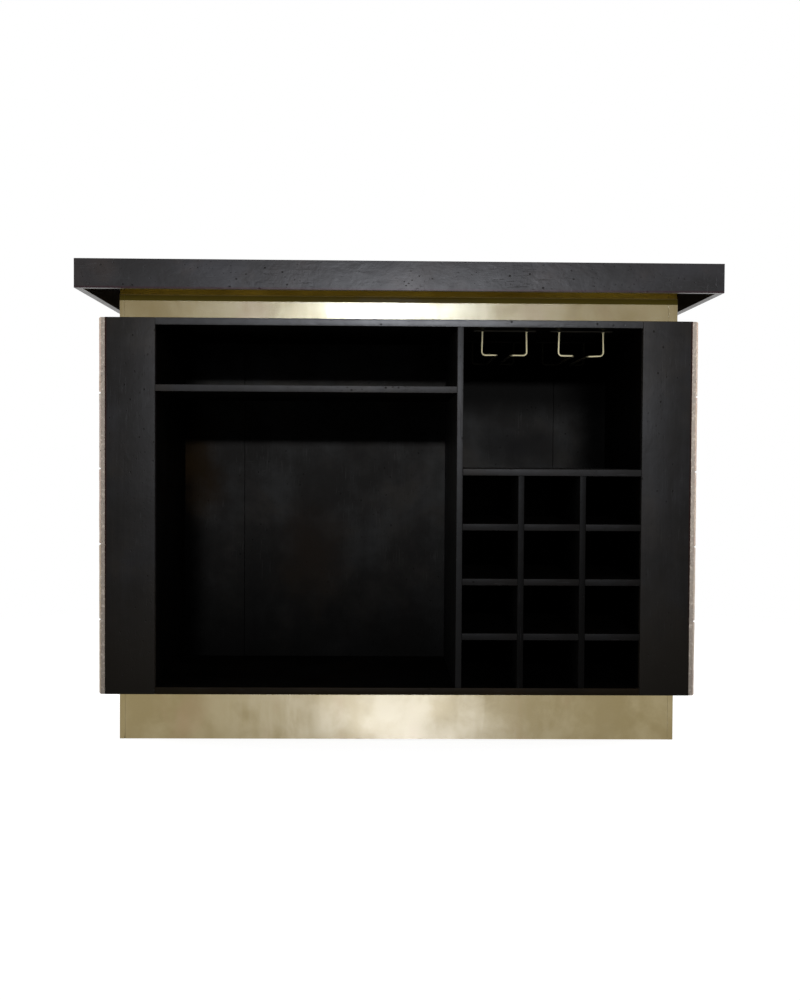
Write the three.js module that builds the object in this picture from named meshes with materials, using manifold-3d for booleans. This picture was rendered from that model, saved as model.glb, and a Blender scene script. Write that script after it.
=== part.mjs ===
// Counter height bar cabinet, open on the side the bartender stands on.
// A hollow built wooden top rests on a brass clad neck, the neck on a wooden body
// and the body on a brass clad plinth. Both ends and the guest side carry stone tiles.
// Millimetres, +Z up, floor at zero, the open side faces -Y.

import * as THREE from "three";
import { ConvexGeometry } from "three/addons/geometries/ConvexGeometry.js";
import { mergeVertices, toCreasedNormals } from "three/addons/utils/BufferGeometryUtils.js";
import Module from "manifold-3d";

// Overall sizes
const overallHeight = 1067;
const topWidth = 1422;
const topDepth = 610;
const topThickness = 64;
const bodyOverhang = 46; // edge of the top to the face of the body, on all four sides
const neckInset = 38; // face of the body to the face of the neck and of the plinth
const neckHeight = 58; // shown between the body and the top
const plinthHeight = 107;

// Board stock
const topBoard = 16; // the board that the hollow top is folded from
const deckBoard = 16; // deck over the bays and base under them
const shelfBoard = 15;
const uprightBoard = 14; // divider and bottle rack uprights
const stileBoard = 18;
const stileWidth = 111;
const sideBoard = 12;
const liningBoard = 12;
const panelBoard = 12; // structural panel behind the guest side tiles
const backBoard = 9; // three boards that line the back of the bays
const frameBoard = 15; // boards of the neck frame and of the plinth frame
const railBoard = 18; // cross rails and webs
const easedEdge = 0.7; // chamfer on every board edge
const mitreGap = 0.3;

// Housings and laps
const housingDepth = 4;
const housingSetback = 2; // housings start this far behind the stiles, out of sight
const frameRabbet = 6;
const lapClearance = 0.15;

// Bays, as clear sizes; the divider stands where the bottle cells end
const cellWidth = 124;
const cellHeight = 107.75;
const bottleColumns = 3;
const bottleRows = 4;
const upperBayHeight = 132; // over the fixed shelf of the left bay
const backEndWidth = 146; // end of the bays to the seam of the back boards
const backSeamGap = 0.8;

// Stone tiles
const tileThickness = 12;
const tileRows = 5;
const tileColumnsEnd = 3;
const tileColumnsGuest = 8;
const tileBevelWidth = 3;
const tileBevelDepth = 2.6;
const groutHalfWidth = 0.7;

// Brass sheet
const sheetGauge = 1.2;
const sheetSeam = 0.5;
const neckFlangeLeft = 10; // width of the folded end sheets on the open side and the guest side
const neckFlangeRight = 20;
const plinthFlange = 12;

// Stemware racks
const rackInsets = [98, 274]; // divider to the centre of each rack
const rackWidth = 108; // over the two hanging wires
const rackDrop = 58; // deck underside to the underside of the wire feet
const rackSlot = 27; // free width between the rails
const rackSetback = 84; // front edge of the deck to the front hanging wires
const rackClearance = 111; // rear hanging wires to the back boards
const wireDiameter = 4.8;
const wireBend = 8; // centre line radius of the bends
const plateOverhang = 19; // of the plates past the wires, on each side
const plateWidth = 18;
const plateThickness = 2.6;
const screwInset = 11; // end of the plate to the screw
const screwShank = 3.4;
const screwLength = 13; // plate underside to the tip
const screwHead = 7.5;
const screwHeadHeight = 2.2;
const screwPlay = 0.2; // radial play of the shank in the plate and in the deck
const recessWidth = 1.1; // driver slot in a screw head
const recessDepth = 0.9;

// Counts that only set how finely curves are cut
const wireSides = 10;
const bendSteps = 4;
const screwSides = 20;
const foldSteps = 3;

// Planes that follow from the sizes above
const topX = topWidth / 2;
const topY = topDepth / 2;
const topUnderZ = overallHeight - topBoard;
const edgeUnderZ = overallHeight - topThickness;
const bodyX = topX - bodyOverhang;
const bodyY = topY - bodyOverhang;
const baseZ = plinthHeight;
const deckTopZ = edgeUnderZ - neckHeight;
const floorZ = baseZ + deckBoard;
const ceilingZ = deckTopZ - deckBoard;
const woodX = bodyX - tileThickness;
const openX = woodX - stileWidth;
const frontY = -bodyY;
const stileBackY = frontY + stileBoard;
const woodBackY = bodyY - tileThickness;
const panelY = woodBackY - panelBoard;
const innerY = panelY - backBoard;
const endInnerX = woodX - sideBoard;
const liningOuterX = openX + liningBoard;
const dividerRightX = openX - bottleColumns * cellWidth - (bottleColumns - 1) * uprightBoard;
const dividerX = dividerRightX - uprightBoard;
const rackShelfZ = floorZ + bottleRows * cellHeight + (bottleRows - 1) * shelfBoard;
const leftShelfTopZ = ceilingZ - upperBayHeight;
const webZ = (floorZ + ceilingZ - railBoard) / 2;
const neckX = bodyX - neckInset;
const neckY = bodyY - neckInset;
const lapY = (frontY + innerY) / 2;
const rackNearY = frontY + rackSetback;
const rackFarY = innerY - rackClearance;
const plateReach = rackWidth / 2 + plateOverhang;
const screwReach = plateReach - screwInset;

const wasm = await Module();
wasm.setup();

// Finishes
const finish = (color, roughness, metalness) =>
  new THREE.MeshStandardMaterial({ color, roughness, metalness });
const stainedWood = finish(0x35312f, 0.5, 0);
const shadeWood = finish(0x26221f, 0.6, 0);
const hiddenWood = finish(0x54463a, 0.8, 0);
const brass = finish(0xb9a56c, 0.35, 1);
const stone = finish(0xb3a394, 0.9, 0);
const paleBrass = finish(0xd2c69c, 0.3, 1);

// Solids
function toSolid(geometry) {
  const plain = new THREE.BufferGeometry();
  plain.setAttribute("position", geometry.getAttribute("position").clone());
  if (geometry.index) {
    plain.setIndex(geometry.index.clone());
  }
  const welded = mergeVertices(plain);
  const vertProperties = new Float32Array(welded.getAttribute("position").array);
  const triVerts = new Uint32Array(welded.index.array);
  return new wasm.Manifold(new wasm.Mesh({ numProp: 3, vertProperties, triVerts }));
}

function toGeometry(solid) {
  const mesh = solid.getMesh();
  const geometry = new THREE.BufferGeometry();
  geometry.setAttribute("position", new THREE.BufferAttribute(mesh.vertProperties, 3));
  geometry.setIndex(new THREE.BufferAttribute(mesh.triVerts, 1));
  return toCreasedNormals(geometry, Math.PI / 6);
}

// Plain block between two planes on each axis
function block(x, y, z) {
  const geometry = new THREE.BoxGeometry(x[1] - x[0], y[1] - y[0], z[1] - z[0]);
  geometry.translate((x[0] + x[1]) / 2, (y[0] + y[1]) / 2, (z[0] + z[1]) / 2);
  return toSolid(geometry);
}

// Board between the same planes with all its edges eased
function board(x, y, z) {
  const points = [];
  for (const i of [0, 1]) {
    for (const j of [0, 1]) {
      for (const k of [0, 1]) {
        const inX = x[i] + (i ? -easedEdge : easedEdge);
        const inY = y[j] + (j ? -easedEdge : easedEdge);
        const inZ = z[k] + (k ? -easedEdge : easedEdge);
        points.push(new THREE.Vector3(x[i], inY, inZ));
        points.push(new THREE.Vector3(inX, y[j], inZ));
        points.push(new THREE.Vector3(inX, inY, z[k]));
      }
    }
  }
  return toSolid(new ConvexGeometry(points));
}

function join(solids) {
  return solids.reduce((sum, next) => sum.add(next));
}

function cut(solid, tools) {
  return tools.reduce((rest, tool) => rest.subtract(tool), solid);
}

function spin(solid, angle) {
  return solid.rotate([0, 0, angle]);
}

function span(a, b) {
  return a < b ? [a, b] : [b, a];
}

// Upright cylinder from a radius, a centre and its two heights
function pin(radius, x, y, z, sides) {
  const geometry = new THREE.CylinderGeometry(radius, radius, z[1] - z[0], sides);
  geometry.rotateX(Math.PI / 2);
  geometry.translate(x, y, (z[0] + z[1]) / 2);
  return toSolid(geometry);
}

const part = new THREE.Group();
part.name = "bar_armoire";

function place(name, solid, material) {
  const mesh = new THREE.Mesh(toGeometry(solid), material);
  mesh.name = name;
  part.add(mesh);
}

// Hollow top, one panel and four drop edges folded down at mitres
const mitreShift = mitreGap * Math.SQRT1_2;

function panelRing(z, inset) {
  const points = [];
  for (const x of [-1, 1]) {
    for (const y of [-1, 1]) {
      points.push(new THREE.Vector3(x * (topX - inset), y * (topY - inset), z));
    }
  }
  return points;
}

function dropEdge(half, faceY) {
  const points = [];
  const rows = [
    [0, edgeUnderZ],
    [0, overallHeight - mitreShift],
    [topBoard, edgeUnderZ],
    [topBoard, topUnderZ - mitreShift],
  ];
  for (const [inset, z] of rows) {
    for (const x of [-1, 1]) {
      points.push(new THREE.Vector3(x * (half - inset - mitreShift), inset - faceY, z));
    }
  }
  return toSolid(new ConvexGeometry(points));
}

const panelTop = panelRing(overallHeight, mitreShift);
const panelUnder = panelRing(topUnderZ, topBoard + mitreShift);
place("top_panel", toSolid(new ConvexGeometry([...panelTop, ...panelUnder])), stainedWood);
place("top_edge_open_side", dropEdge(topX, topY), stainedWood);
place("top_edge_right_end", spin(dropEdge(topY, topX), 90), stainedWood);
place("top_edge_guest_side", spin(dropEdge(topX, topY), 180), stainedWood);
place("top_edge_left_end", spin(dropEdge(topY, topX), 270), stainedWood);

// Frame of four rabbeted boards and one cross rail, used for the neck and for the plinth
const frameX = neckX - sheetGauge;
const frameY = neckY - sheetGauge;
const frameInX = frameX - frameBoard;
const frameInY = frameY - frameBoard;
const rabbetY = frameInY + frameRabbet;

function buildFrame(name, z) {
  const endNotch = (side) => block(span(side * frameInX, side * topX), [0, rabbetY], z);
  const railNotch = block([-railBoard / 2, railBoard / 2], [0, rabbetY], z);
  const uncut = board([-frameX, frameX], [frameInY, frameY], z);
  const long = cut(uncut, [endNotch(-1), endNotch(1), railNotch]);
  place(`${name}_frame_guest_side`, long, hiddenWood);
  place(`${name}_frame_open_side`, spin(long, 180), hiddenWood);
  for (const [side, end] of [[-1, "left"], [1, "right"]]) {
    const x = span(side * frameInX, side * frameX);
    place(`${name}_frame_${end}_end`, board(x, [-rabbetY, rabbetY], z), hiddenWood);
  }
  const rail = board([-railBoard / 2, railBoard / 2], [-rabbetY, rabbetY], z);
  place(`${name}_cross_rail`, rail, hiddenWood);
}

// Brass sheets, flat on the long sides and folded round the corners at the ends
function foldedSheet(flange, z) {
  const outer = easedEdge + sheetGauge;
  const inX = neckX - outer;
  const inY = neckY - outer;
  const shape = new THREE.Shape();
  shape.moveTo(neckX - flange, -neckY);
  shape.lineTo(inX, -neckY);
  shape.absarc(inX, -inY, outer, -Math.PI / 2, 0, false);
  shape.lineTo(neckX, inY);
  shape.absarc(inX, inY, outer, 0, Math.PI / 2, false);
  shape.lineTo(neckX - flange, neckY);
  shape.lineTo(neckX - flange, frameY);
  shape.lineTo(inX, frameY);
  shape.absarc(inX, inY, easedEdge, Math.PI / 2, 0, true);
  shape.lineTo(frameX, -inY);
  shape.absarc(inX, -inY, easedEdge, 0, -Math.PI / 2, true);
  shape.lineTo(neckX - flange, -frameY);
  const options = { depth: z[1] - z[0], bevelEnabled: false, curveSegments: foldSteps };
  const geometry = new THREE.ExtrudeGeometry(shape, options);
  geometry.translate(0, 0, z[0]);
  return toSolid(geometry);
}

function buildSheets(name, flangeLeft, flangeRight, z) {
  const left = sheetSeam + flangeLeft - neckX;
  const right = neckX - flangeRight - sheetSeam;
  place(`${name}_sheet_open_side`, block([left, right], [-neckY, -frameY], z), brass);
  place(`${name}_sheet_guest_side`, block([left, right], [frameY, neckY], z), brass);
  place(`${name}_sheet_right_end`, foldedSheet(flangeRight, z), brass);
  place(`${name}_sheet_left_end`, spin(foldedSheet(flangeLeft, z), 180), brass);
}

const neckZ = [deckTopZ, topUnderZ];
buildFrame("neck", neckZ);
buildSheets("neck", neckFlangeLeft, neckFlangeRight, neckZ);

const plinthZ = [0, plinthHeight];
buildFrame("plinth", plinthZ);
buildSheets("plinth", plinthFlange, plinthFlange, plinthZ);

// Housings shared by the boards below
const housedY = [stileBackY + housingSetback, innerY];
const dividerSpan = [dividerX, dividerRightX];
const leftShelfSpan = [leftShelfTopZ - shelfBoard, leftShelfTopZ];
const rackShelfSpan = [rackShelfZ, rackShelfZ + shelfBoard];
const uprightSpans = [];
for (let column = 1; column < bottleColumns; column += 1) {
  const x = dividerRightX + column * cellWidth + (column - 1) * uprightBoard;
  uprightSpans.push([x, x + uprightBoard]);
}
const bottleShelfSpans = [];
for (let row = 1; row < bottleRows; row += 1) {
  const z = floorZ + row * cellHeight + (row - 1) * shelfBoard;
  bottleShelfSpans.push([z, z + shelfBoard]);
}
const baseHousing = [floorZ - housingDepth, floorZ];
const deckHousing = [ceilingZ, ceilingZ + housingDepth];
const liningY = [stileBackY, panelY];

// Deck and base, notched round the stiles and housed for linings, divider and uprights
function carcassBoard(z, housing) {
  const wide = endInnerX + housingDepth;
  const nose = board([-openX, openX], [frontY, panelY], z);
  const main = block([-wide, wide], [stileBackY, panelY + housingDepth], z);
  return cut(nose.add(main), [
    block([-liningOuterX, -openX], liningY, housing),
    block([openX, liningOuterX], liningY, housing),
    block(dividerSpan, housedY, housing),
  ]);
}

const rackCentresX = rackInsets.map((inset) => dividerRightX + inset);
const screwPlaces = [];
for (const x of rackCentresX) {
  for (const y of [rackNearY, rackFarY]) {
    for (const side of [-1, 1]) {
      screwPlaces.push([x + side * screwReach, y]);
    }
  }
}
const plateZ = [ceilingZ - plateThickness, ceilingZ];
const screwZ = [plateZ[0], plateZ[0] + screwLength];
const holeZ = [plateZ[0], screwZ[1] + screwPlay];
const screwHoles = screwPlaces.map(([x, y]) =>
  pin(screwShank / 2 + screwPlay, x, y, holeZ, screwSides));

const deck = cut(carcassBoard([ceilingZ, deckTopZ], deckHousing), screwHoles);
const uprightHousings = uprightSpans.map((x) => block(x, housedY, baseHousing));
const base = cut(carcassBoard([baseZ, floorZ], baseHousing), uprightHousings);
place("deck_board", deck, stainedWood);
place("base_board", base, stainedWood);

// Hollow end walls and the structural panel of the guest side
const fullZ = [baseZ, deckTopZ];
const carcassEnds = [[baseZ, floorZ], [ceilingZ, deckTopZ]];

const endRabbets = carcassEnds.map((z) =>
  block([endInnerX, endInnerX + housingDepth], liningY, z));
const endWall = cut(board([endInnerX, woodX], liningY, fullZ), endRabbets);
const shelfHousingX = [openX, openX + housingDepth];
const rackHousings = [rackShelfSpan, ...bottleShelfSpans].map((z) =>
  block(shelfHousingX, housedY, z));
const leftHousing = block([-shelfHousingX[1], -openX], housedY, leftShelfSpan);
const liningZ = [baseHousing[0], deckHousing[1]];

for (const [side, end] of [[-1, "left"], [1, "right"]]) {
  const stile = board(span(side * openX, side * woodX), [frontY, stileBackY], fullZ);
  place(`stile_${end}`, stile, stainedWood);
  place(`end_wall_${end}`, side < 0 ? endWall.mirror([1, 0, 0]) : endWall, hiddenWood);
  const lining = block(span(side * openX, side * liningOuterX), liningY, liningZ);
  place(`bay_lining_${end}`, cut(lining, side < 0 ? [leftHousing] : rackHousings), shadeWood);
  const web = board(span(side * liningOuterX, side * endInnerX), liningY, [webZ, webZ + railBoard]);
  place(`end_web_${end}`, web, hiddenWood);
}

const panelRabbets = carcassEnds.map((z) =>
  block([-endInnerX - housingDepth, endInnerX + housingDepth], [panelY, panelY + housingDepth], z));
const panel = cut(board([-woodX, woodX], [panelY, woodBackY], fullZ), panelRabbets);
place("guest_side_panel", panel, hiddenWood);

const bayZ = [floorZ, ceilingZ];
const seamInX = openX - backEndWidth - backSeamGap / 2;
const seamOutX = seamInX + backSeamGap;
const backSpans = [
  ["left", [-openX, -seamOutX]],
  ["centre", [-seamInX, seamInX]],
  ["right", [seamOutX, openX]],
];
for (const [name, x] of backSpans) {
  place(`back_board_${name}`, board(x, [innerY, panelY], bayZ), shadeWood);
}

// Divider and shelves, tongued into stopped housings
const dividerCore = board(dividerSpan, [frontY, innerY], bayZ);
const dividerTongues = block(dividerSpan, housedY, [baseHousing[0], deckHousing[1]]);
const dividerHousings = [
  block([dividerX, dividerX + housingDepth], housedY, leftShelfSpan),
  ...[rackShelfSpan, ...bottleShelfSpans].map((z) =>
    block([dividerRightX - housingDepth, dividerRightX], housedY, z)),
];
place("centre_divider", cut(dividerCore.add(dividerTongues), dividerHousings), stainedWood);

function shelf(x, z) {
  const core = board(x, [frontY, innerY], z);
  const tongues = block([x[0] - housingDepth, x[1] + housingDepth], housedY, z);
  return core.add(tongues);
}

place("left_bay_shelf", shelf([-openX, dividerX], leftShelfSpan), stainedWood);
const rackTop = shelf([dividerRightX, openX], rackShelfSpan);
const rackTopHousings = uprightSpans.map((x) =>
  block(x, housedY, [rackShelfZ, rackShelfZ + housingDepth]));
place("rack_shelf", cut(rackTop, rackTopHousings), stainedWood);

// Bottle rack, uprights and shelves halved over each other
uprightSpans.forEach((x, index) => {
  const core = board(x, [frontY, innerY], [floorZ, rackShelfZ]);
  const tongues = block(x, housedY, [baseHousing[0], rackShelfZ + housingDepth]);
  const slots = bottleShelfSpans.map((z) =>
    block(x, [lapY, innerY], [z[0] - lapClearance, z[1] + lapClearance]));
  place(`bottle_upright_${index + 1}`, cut(core.add(tongues), slots), stainedWood);
});

bottleShelfSpans.forEach((z, index) => {
  const slots = uprightSpans.map((x) =>
    block([x[0] - lapClearance, x[1] + lapClearance], [frontY, lapY], z));
  place(`bottle_shelf_${index + 1}`, cut(shelf([dividerRightX, openX], z), slots), stainedWood);
});

// Stone tiles, each face one bonded sheet with bevelled joints
function grooveTool(length) {
  const wide = groutHalfWidth + tileBevelWidth;
  const shape = new THREE.Shape();
  shape.moveTo(-wide, 0);
  shape.lineTo(-groutHalfWidth, -tileBevelDepth);
  shape.lineTo(groutHalfWidth, -tileBevelDepth);
  shape.lineTo(wide, 0);
  shape.lineTo(wide, tileBevelDepth);
  shape.lineTo(-wide, tileBevelDepth);
  const options = { depth: length, bevelEnabled: false };
  const geometry = new THREE.ExtrudeGeometry(shape, options);
  geometry.translate(0, 0, -length / 2);
  return geometry;
}

// Built on the guest side, centred on the origin, the tile face towards +Y
function tileSheet(width, columns) {
  const sheet = block([-width / 2, width / 2], [-tileThickness, 0], fullZ);
  const tools = [];
  for (let column = 0; column <= columns; column += 1) {
    const tool = grooveTool(topWidth + topDepth);
    tool.translate((column / columns) * width - width / 2, 0, 0);
    tools.push(toSolid(tool));
  }
  for (let row = 0; row <= tileRows; row += 1) {
    const tool = grooveTool(topWidth + topDepth);
    tool.rotateY(Math.PI / 2);
    tool.translate(0, 0, baseZ + (row / tileRows) * (deckTopZ - baseZ));
    tools.push(toSolid(tool));
  }
  return cut(sheet, tools);
}

const endSheetWidth = woodBackY - frontY;
const endSheetY = (woodBackY + frontY) / 2;
const endSheet = tileSheet(endSheetWidth, tileColumnsEnd);
place("tiles_left_end", spin(endSheet, 90).translate([-bodyX, endSheetY, 0]), stone);
place("tiles_right_end", spin(endSheet, 270).translate([bodyX, endSheetY, 0]), stone);
const guestSheet = tileSheet(2 * bodyX, tileColumnsGuest);
place("tiles_guest_side", guestSheet.translate([0, bodyY, 0]), stone);

// Bent wire followed through its own points, so that straight runs take one step
class WirePath extends THREE.Curve {
  constructor(points) {
    super();
    this.points = points;
  }

  getPoint(t) {
    const reach = this.points.length - 1;
    const index = Math.min(Math.floor(t * reach), reach - 1);
    return this.points[index].clone().lerp(this.points[index + 1], t * reach - index);
  }

  getUtoTmapping(u) {
    return u;
  }
}

// Rounds the inner corners of a polyline to one radius
function roundCorners(corners, radius) {
  const points = [corners[0]];
  for (let index = 1; index < corners.length - 1; index += 1) {
    const corner = corners[index];
    const before = corners[index - 1].clone().sub(corner).normalize();
    const after = corners[index + 1].clone().sub(corner).normalize();
    const turn = Math.PI - before.angleTo(after);
    const middle = before.clone().add(after).normalize();
    const centre = corner.clone().addScaledVector(middle, radius / Math.cos(turn / 2));
    const reach = radius * Math.tan(turn / 2);
    const first = corner.clone().addScaledVector(before, reach).sub(centre);
    const axis = after.clone().cross(before).normalize();
    for (let step = 0; step <= bendSteps; step += 1) {
      const angle = (turn * step) / bendSteps;
      points.push(first.clone().applyAxisAngle(axis, angle).add(centre));
    }
  }
  points.push(corners[corners.length - 1]);
  return points;
}

function wire(corners) {
  const points = roundCorners(corners, wireBend);
  const section = new THREE.Shape();
  section.absarc(0, 0, wireDiameter / 2, 0, 2 * Math.PI, false);
  const options = {
    steps: points.length - 1,
    curveSegments: wireSides,
    bevelEnabled: false,
    extrudePath: new WirePath(points),
  };
  return toSolid(new THREE.ExtrudeGeometry(section, options));
}

// Stemware racks, two bent wires each, welded under two screwed plates
const footZ = ceilingZ - rackDrop + wireDiameter / 2;
const hangX = (rackWidth - wireDiameter) / 2;
const railX = (rackSlot + wireDiameter) / 2;
const wireTopZ = ceilingZ - plateThickness / 2;

function stemwareRack(centreX) {
  const solids = [];
  for (const side of [-1, 1]) {
    const point = (x, y, z) => new THREE.Vector3(centreX + side * x, y, z);
    solids.push(wire([
      point(hangX, rackNearY, wireTopZ),
      point(hangX, rackNearY, footZ),
      point(railX, rackNearY, footZ),
      point(railX, rackFarY, footZ),
      point(hangX, rackFarY, footZ),
      point(hangX, rackFarY, wireTopZ),
    ]));
  }
  for (const y of [rackNearY, rackFarY]) {
    const x = [centreX - plateReach, centreX + plateReach];
    solids.push(block(x, [y - plateWidth / 2, y + plateWidth / 2], plateZ));
  }
  return cut(join(solids), screwHoles);
}

rackCentresX.forEach((x, index) => {
  place(`stemware_rack_${index + 1}`, stemwareRack(x), paleBrass);
});

screwPlaces.forEach(([x, y], index) => {
  const headZ = [plateZ[0] - screwHeadHeight, plateZ[0]];
  const head = pin(screwHead / 2, x, y, headZ, screwSides);
  const shank = pin(screwShank / 2, x, y, [headZ[0] + recessDepth, screwZ[1]], screwSides);
  const recess = block(
    [x - screwHead, x + screwHead],
    [y - recessWidth / 2, y + recessWidth / 2],
    [headZ[0] - recessDepth, headZ[0] + recessDepth],
  );
  place(`rack_screw_${index + 1}`, head.add(shank).subtract(recess), paleBrass);
});

export default part;
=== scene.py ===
import math

import bmesh
import bpy
from mathutils import Matrix, Vector, noise


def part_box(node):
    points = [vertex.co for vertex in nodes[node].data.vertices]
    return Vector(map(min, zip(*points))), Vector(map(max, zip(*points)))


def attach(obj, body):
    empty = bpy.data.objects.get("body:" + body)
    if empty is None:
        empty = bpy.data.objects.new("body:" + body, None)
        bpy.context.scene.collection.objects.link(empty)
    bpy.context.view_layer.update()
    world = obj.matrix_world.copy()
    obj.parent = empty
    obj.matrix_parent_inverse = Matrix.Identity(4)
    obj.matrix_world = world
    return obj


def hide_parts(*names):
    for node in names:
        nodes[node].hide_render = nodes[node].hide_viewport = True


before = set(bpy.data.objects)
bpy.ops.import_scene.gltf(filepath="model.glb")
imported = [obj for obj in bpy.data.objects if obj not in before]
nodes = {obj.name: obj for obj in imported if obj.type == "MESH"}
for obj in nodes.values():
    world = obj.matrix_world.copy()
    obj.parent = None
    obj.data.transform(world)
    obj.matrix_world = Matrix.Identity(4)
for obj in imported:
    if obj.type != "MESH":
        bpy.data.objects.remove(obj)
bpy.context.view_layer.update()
scene = bpy.context.scene
scene.view_settings.view_transform = "Standard"
print("frame loaded,", len(nodes), "nodes")


def addObject(name, data):
    made = bpy.data.objects.new(name, data)
    scene.collection.objects.link(made)
    return made


def setAll(target, settings):
    for key, value in settings.items():
        setattr(target, key, value)
    return target


# helpers for node trees
def addNode(tree, kind, inputs=None, **settings):
    made = setAll(tree.nodes.new(kind), settings)
    for key, value in (inputs or {}).items():
        setInput(tree, made.inputs[key], value)
    return made


def setInput(tree, socket, value):
    if isinstance(value, bpy.types.NodeSocket):
        tree.links.new(value, socket)
    else:
        socket.default_value = (*value, 1) if socket.type == "RGBA" else value


def doMath(tree, operation, first, second=0.0, third=0.0, clamp=False):
    made = addNode(tree, "ShaderNodeMath", operation=operation, use_clamp=clamp)
    for socket, value in zip(made.inputs, (first, second, third)):
        setInput(tree, socket, value)
    return made.outputs[0]


def times(tree, first, second):
    return doMath(tree, "MULTIPLY", first, second)


def doVector(tree, operation, first, second=(0, 0, 0)):
    made = addNode(tree, "ShaderNodeVectorMath", {0: first, 1: second}, operation=operation)
    return made.outputs["Value" if operation in ("LENGTH", "DOT_PRODUCT") else "Vector"]


def mixColor(tree, factor, first, second):
    made = addNode(tree, "ShaderNodeMix", data_type="RGBA")
    for index, value in ((0, factor), (6, first), (7, second)):
        setInput(tree, made.inputs[index], value)
    return made.outputs[2]


# lays tints over a colour, each with its mask and share
def addCoats(tree, color, coats):
    for mask, share, tint in coats:
        color = mixColor(tree, times(tree, mask, share), color, tint)
    return color


def remap(tree, value, fromLow, fromHigh, toLow=0.0, toHigh=1.0):
    made = addNode(tree, "ShaderNodeMapRange", clamp=True, interpolation_type="SMOOTHSTEP")
    for index, item in enumerate((value, fromLow, fromHigh, toLow, toHigh)):
        setInput(tree, made.inputs[index], item)
    return made.outputs[0]


def stretch(tree, vector, scale, turn=(0, 0, 0), move=(0, 0, 0)):
    inputs = {"Vector": vector, "Scale": scale, "Rotation": turn, "Location": move}
    return addNode(tree, "ShaderNodeMapping", inputs).outputs[0]


def axisOf(tree, vector, axis):
    return addNode(tree, "ShaderNodeSeparateXYZ", {0: vector}).outputs["XYZ".index(axis)]


# a texture's scale is a number, or one for each axis with a turn or a move
def scaled(tree, vector, scale, **moved):
    if isinstance(scale, tuple):
        vector, scale = stretch(tree, vector, scale, **moved), 1.0
    return {"Vector": vector, "Scale": scale}


def cloud(tree, vector, scale, detail=3.0, roughness=0.55, distortion=0.0, **moved):
    inputs = {"Detail": detail, "Roughness": roughness, "Distortion": distortion}
    return addNode(tree, "ShaderNodeTexNoise", {**scaled(tree, vector, scale, **moved), **inputs}).outputs[0]


# round specks of the given radii, only where the patches are
def specks(tree, vector, scale, outer, inner, patches, **moved):
    distance = addNode(tree, "ShaderNodeTexVoronoi", scaled(tree, vector, scale, **moved)).outputs["Distance"]
    return times(tree, remap(tree, distance, outer, inner), patches)


def addHeights(tree, height, shares):
    for value, share in shares:
        height = doMath(tree, "MULTIPLY_ADD", value, share, height)
    return height


# a group takes a vector, and numbers with their defaults; it gives numbers
def newGroup(name, numbers):
    group = bpy.data.node_groups.new(name, "ShaderNodeTree")
    group.interface.new_socket(name="Vector", in_out="INPUT", socket_type="NodeSocketVector")
    for label, value in numbers.items():
        socket = group.interface.new_socket(name=label, in_out="INPUT", socket_type="NodeSocketFloat")
        socket.default_value = value
    return group, group.nodes.new("NodeGroupInput").outputs


def endGroup(group, found):
    for label in found:
        group.interface.new_socket(name=label, in_out="OUTPUT", socket_type="NodeSocketFloat")
    end = group.nodes.new("NodeGroupOutput")
    for label, value in found.items():
        group.links.new(value, end.inputs[label])
    return group


def useGroup(tree, group, inputs):
    return addNode(tree, "ShaderNodeGroup", inputs, node_tree=group).outputs


def newMaterial(name):
    material = bpy.data.materials.new(name)
    material.use_nodes = True
    tree = material.node_tree
    shader = next(n for n in tree.nodes if n.type == "BSDF_PRINCIPLED")
    place = addNode(tree, "ShaderNodeTexCoord").outputs["Object"]
    return material, tree, shader, place


def setSurface(tree, shader, color, rough, height, relief):
    bump = addNode(tree, "ShaderNodeBump", {"Height": height, "Distance": relief, "Strength": 1.0})
    setInput(tree, shader.inputs["Base Color"], color)
    setInput(tree, shader.inputs["Roughness"], rough)
    setInput(tree, shader.inputs["Normal"], bump.outputs[0])


# camera where the photograph was taken
cameraPlan = {
    "place": (-0.0585, -3.2647, 0.6334),
    "yaw": 0.0202,
    "pitch": 0.0299,
    "roll": 0.0061,
    "sensor": 36.0,
    "lens": 48.6,
}


def makeCamera(plan):
    yaw, pitch, roll = plan["yaw"], plan["pitch"], plan["roll"]
    ahead = Vector((math.sin(yaw), math.cos(yaw), 0))
    aside = Vector((math.cos(yaw), -math.sin(yaw), 0))
    above = Vector((0, 0, 1))
    sight = ahead * math.cos(pitch) - above * math.sin(pitch)
    upright = above * math.cos(pitch) + ahead * math.sin(pitch)
    right = aside * math.cos(roll) + upright * math.sin(roll)
    up = upright * math.cos(roll) - aside * math.sin(roll)
    data = bpy.data.cameras.new("photoCamera")
    data.sensor_width = plan["sensor"]
    data.lens = plan["lens"]
    data.clip_start, data.clip_end = 0.05, 60
    made = addObject("photoCamera", data)
    turned = Matrix((right, up, -sight)).transposed().to_4x4()
    made.matrix_world = Matrix.Translation(plan["place"]) @ turned
    scene.camera = made


makeCamera(cameraPlan)

# white surroundings, dimmer as light than they look
worldPlan = {"shown": (1, 1, 1), "ambient": (0.97, 0.985, 1), "ambientStrength": 0.08}


def seenRays(tree):
    rays = addNode(tree, "ShaderNodeLightPath").outputs
    seen = doMath(tree, "MAXIMUM", rays["Is Camera Ray"], rays["Is Glossy Ray"])
    return doMath(tree, "MAXIMUM", seen, rays["Is Transmission Ray"])


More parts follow.
